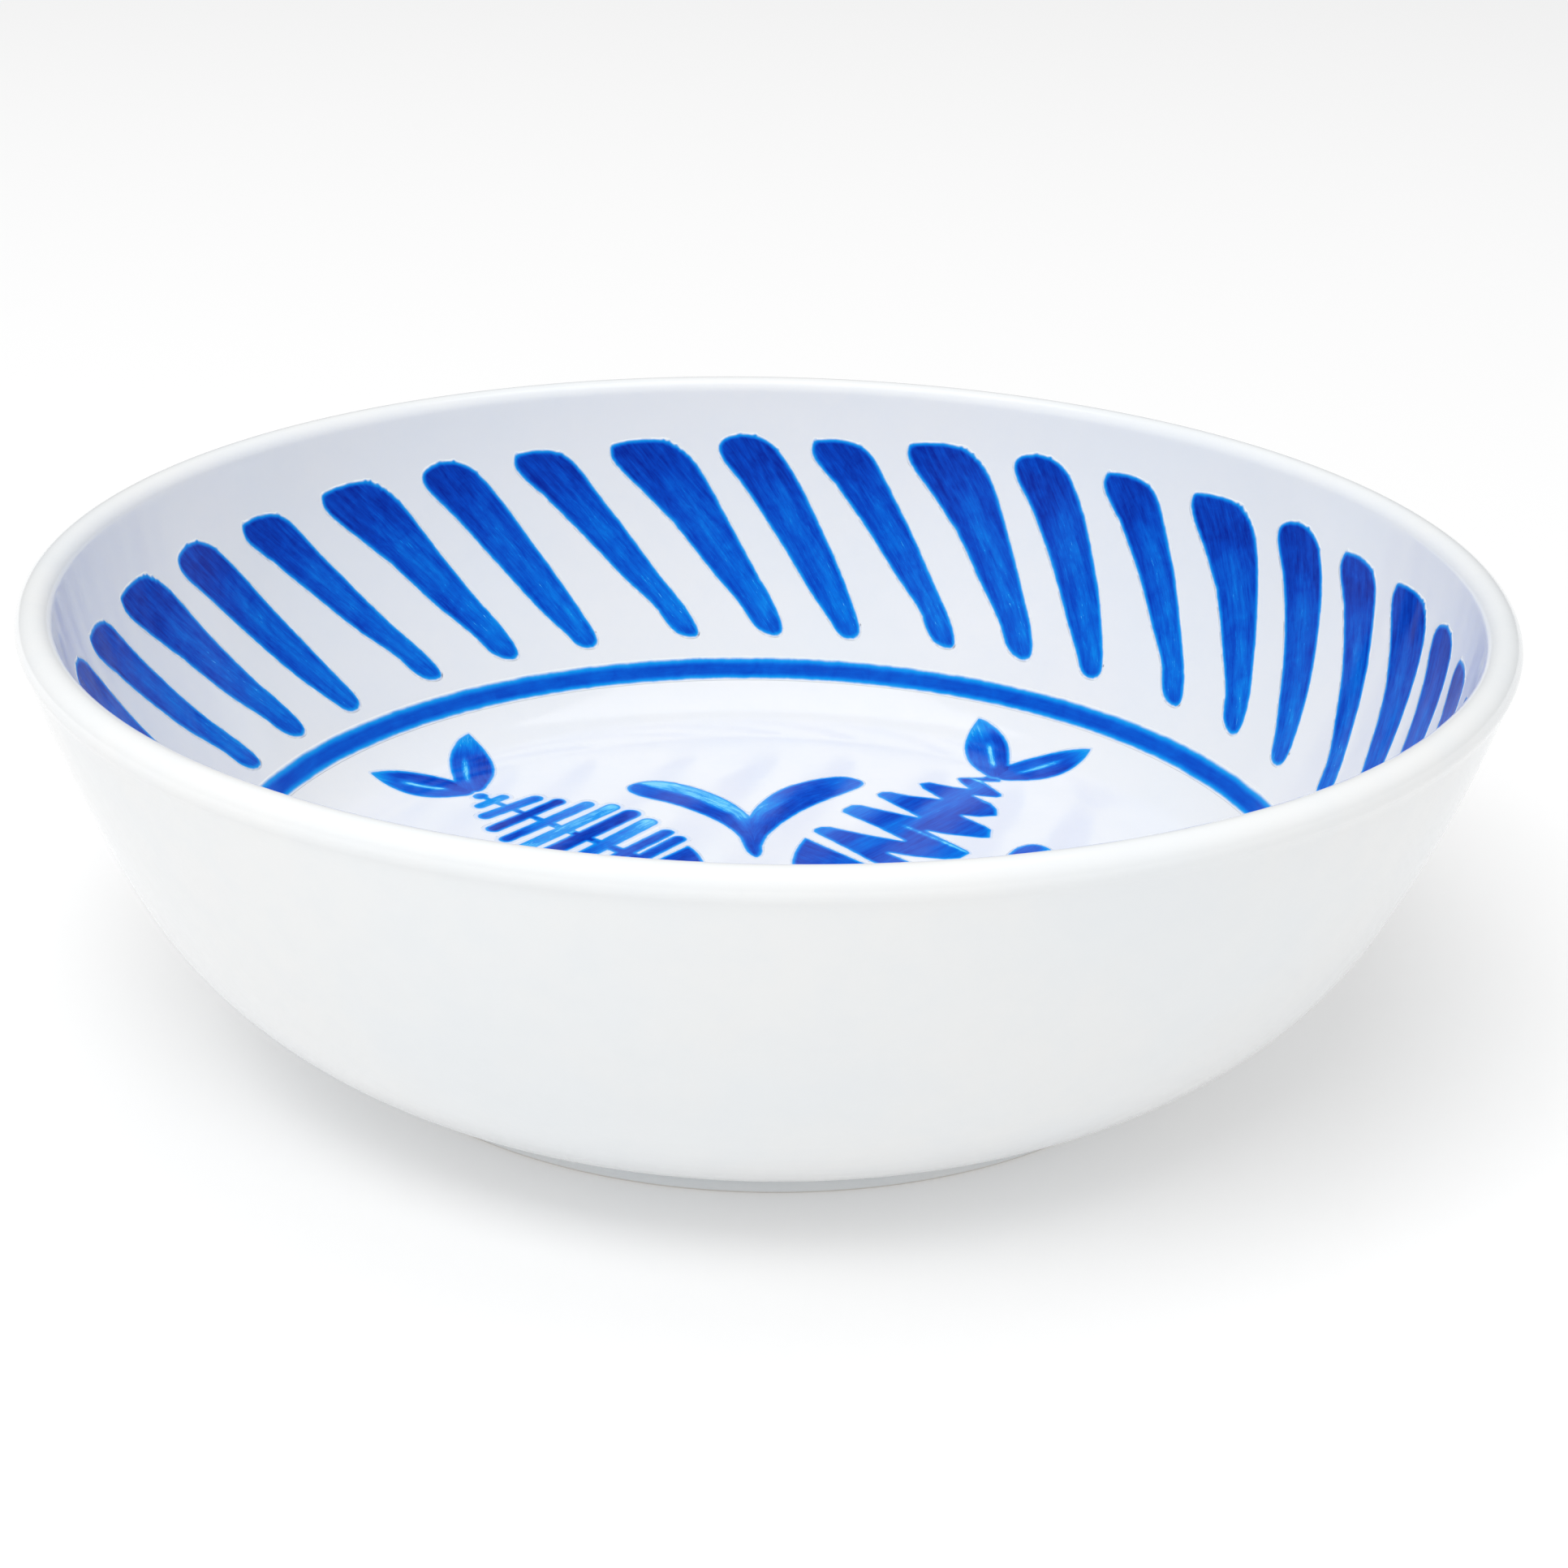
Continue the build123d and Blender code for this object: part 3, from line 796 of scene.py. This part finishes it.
def finish_piece(obj, node, material):
    """Gives a piece its material, hides the CAD node that it stands for, and hangs it from the root body.
    """
    obj.data.materials.append(material)
    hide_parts(node)
    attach(obj, "root")


# ---------------------------------------------------------------- the pieces
body_profile = [(x, z) for x, z, _ in inner_path(5.0, 1.2) + outer_path()]
finish_piece(lathe("glazed_body", body_profile, False), "bowl_body", white)

foot_corners = [
    (FOOT_INNER_TOP_RADIUS, SEAT_HEIGHT),
    (FOOT_INNER_RADIUS, 0.0),
    (FOOT_RADIUS, 0.0),
    (FOOT_TOP_RADIUS, SEAT_HEIGHT),
]
foot_profile = rounded(foot_corners, [0.3, 0.9, 0.9, 0.7])
finish_piece(lathe("glazed_foot", foot_profile[::-1], True), "foot_ring", white)

for node, seed in (
    ("rim_strokes_wide", 0.0),
    ("rim_strokes_medium", 200.0),
    ("rim_strokes_narrow", 400.0),
):
    finish_piece(rim_marks(node, seed), node, stroke_blue)

well_line = ring_mark("well_line", LINE_INNER_RADIUS, LINE_OUTER_RADIUS)
finish_piece(well_line, "well_line", line_blue)

for node, azimuths, spacing, skirt, paint in (
    ("fishbone_heads", FISHBONE_AZIMUTHS, 0.6, SKIRT, paint_fishbone_head),
    ("fishbone_ribs", FISHBONE_AZIMUTHS, 0.45, RIB_SKIRT, paint_fishbone_ribs),
    ("fishbone_tails", FISHBONE_AZIMUTHS, 0.5, SKIRT, paint_tail("fishbone")),
    ("zigzag_heads", ZIGZAG_AZIMUTHS, 0.6, SKIRT, paint_zigzag_head),
    ("zigzag_bodies", ZIGZAG_AZIMUTHS, 0.5, SKIRT, paint_zigzag_body),
    ("zigzag_tails", ZIGZAG_AZIMUTHS, 0.5, SKIRT, paint_tail("zigzag")),
    ("sprigs", SPRIG_AZIMUTHS, 0.6, SKIRT, paint_sprig),
):
    finish_piece(floor_marks(node, azimuths, spacing, skirt, paint), node, motif_blue)


# ---------------------------------------------------------------- stage, light and camera
FLOOR_HALF = 6000.0
FLOOR_GREY = 0.68
FLOOR_GLOW = 0.27


def floor_plane():
    """A plain pale floor, with a faint glow that keeps it near white under the soft light."""
    corners = [(x * FLOOR_HALF, y * FLOOR_HALF, 0.0) for x, y in ((-1, -1), (1, -1), (1, 1), (-1, 1))]
    floor = make_object("floor", corners, [(0, 1, 2, 3)])
    material = bpy.data.materials.new("pale_floor")
    material.use_nodes = True
    shader = material.node_tree.nodes["Principled BSDF"]
    shader.inputs["Base Color"].default_value = (FLOOR_GREY, FLOOR_GREY, FLOOR_GREY, 1.0)
    shader.inputs["Roughness"].default_value = 0.9
    shader.inputs["Specular IOR Level"].default_value = 0.0
    shader.inputs["Emission Color"].default_value = (1.0, 1.0, 1.0, 1.0)
    shader.inputs["Emission Strength"].default_value = FLOOR_GLOW
    floor.data.materials.append(material)


def area_light(name, place, target, size, power):
    """A soft box that faces a target. Places and sizes are in metres."""
    light = bpy.data.lights.new(name, "AREA")
    light.shape = "RECTANGLE"
    light.size, light.size_y = size
    light.energy = power
    obj = bpy.data.objects.new(name, light)
    obj.location = place
    obj.rotation_mode = "QUATERNION"
    obj.rotation_quaternion = (Vector(target) - Vector(place)).to_track_quat("-Z", "Y")
    bpy.context.scene.collection.objects.link(obj)
    return obj


def studio_world(diffuse, glossy, backdrop):
    """White all round, dimmer where the glaze mirrors it."""
    world = bpy.data.worlds.new("studio")
    world.use_nodes = True
    tree = world.node_tree
    tree.nodes.clear()
    n = Nodes(tree)
    path = n.add("LightPath")
    background = n.add("Background")
    background.inputs["Color"].default_value = (1.0, 1.0, 1.0, 1.0)
    level = n.math("ADD", n.math("MULTIPLY", path.outputs["Is Glossy Ray"], glossy - diffuse), diffuse)
    level = n.math("ADD", level, n.math("MULTIPLY", path.outputs["Is Camera Ray"], backdrop - diffuse))
    n.set(background.inputs["Strength"], level)
    tree.links.new(background.outputs[0], n.add("OutputWorld").inputs[0])
    bpy.context.scene.world = world


floor_plane()
studio_world(diffuse=0.66, glossy=0.24, backdrop=1.1)
front = area_light(
    "front",
    place=(-0.5, -1.15, 2.15),
    target=(0.0, 0.05, 0.05),
    size=(1.8, 0.8),
    power=25.0,
)
# The glaze does not mirror the front light: the photo has no such patch inside the bowl.
front.visible_glossy = False
area_light(
    "overhead",
    place=(0.0, 0.3, 3.0),
    target=(0.0, 0.0, 0.0),
    size=(2.0, 2.0),
    power=16.0,
)
area_light(
    "key",
    place=(-1.3, -1.2, 1.2),
    target=(0.0, 0.0, 0.05),
    size=(1.2, 1.2),
    power=1.0,
)

# The camera stands where the fit to the photograph puts it, and is turned a little off the bowl's middle.
# Lengths are in metres, angles in degrees, and the lens and its sensor in millimetres.
CAMERA_DISTANCE = 0.63035
CAMERA_ELEVATION = 22.52
CAMERA_TARGET = Vector((0.0, 0.0, 0.050))
CAMERA_PAN = 0.325
CAMERA_TILT = -0.39
CAMERA_ROLL = 1.13
CAMERA_LENS = 69.23
CAMERA_SENSOR = 36.0


def studio_camera():
    """The camera, aimed at its target and then panned, tilted and rolled."""
    elevation = radians(CAMERA_ELEVATION)
    back = Vector((0.0, -CAMERA_DISTANCE * cos(elevation), CAMERA_DISTANCE * sin(elevation)))
    place = CAMERA_TARGET + back
    ahead = (CAMERA_TARGET - place).normalized()
    right = ahead.cross(Vector((0.0, 0.0, 1.0))).normalized()
    up = right.cross(ahead)
    pan, tilt, roll = radians(CAMERA_PAN), radians(CAMERA_TILT), radians(CAMERA_ROLL)
    ahead = ahead * cos(pan) * cos(tilt) + right * sin(pan) * cos(tilt) + up * sin(tilt)
    right = ahead.cross(up).normalized()
    up = right.cross(ahead)
    right, up = right * cos(roll) + up * sin(roll), up * cos(roll) - right * sin(roll)
    data = bpy.data.cameras.new("camera")
    data.lens = CAMERA_LENS
    data.sensor_width = CAMERA_SENSOR
    data.clip_start = 0.01
    data.clip_end = 50.0
    camera = bpy.data.objects.new("camera", data)
    camera.matrix_world = Matrix.Translation(place) @ Matrix((right, up, -ahead)).transposed().to_4x4()
    bpy.context.scene.collection.objects.link(camera)
    bpy.context.scene.camera = camera


studio_camera()
scene = bpy.context.scene
scene.view_settings.view_transform = "Standard"
scene.view_settings.look = "None"
scene.cycles.use_denoising = True
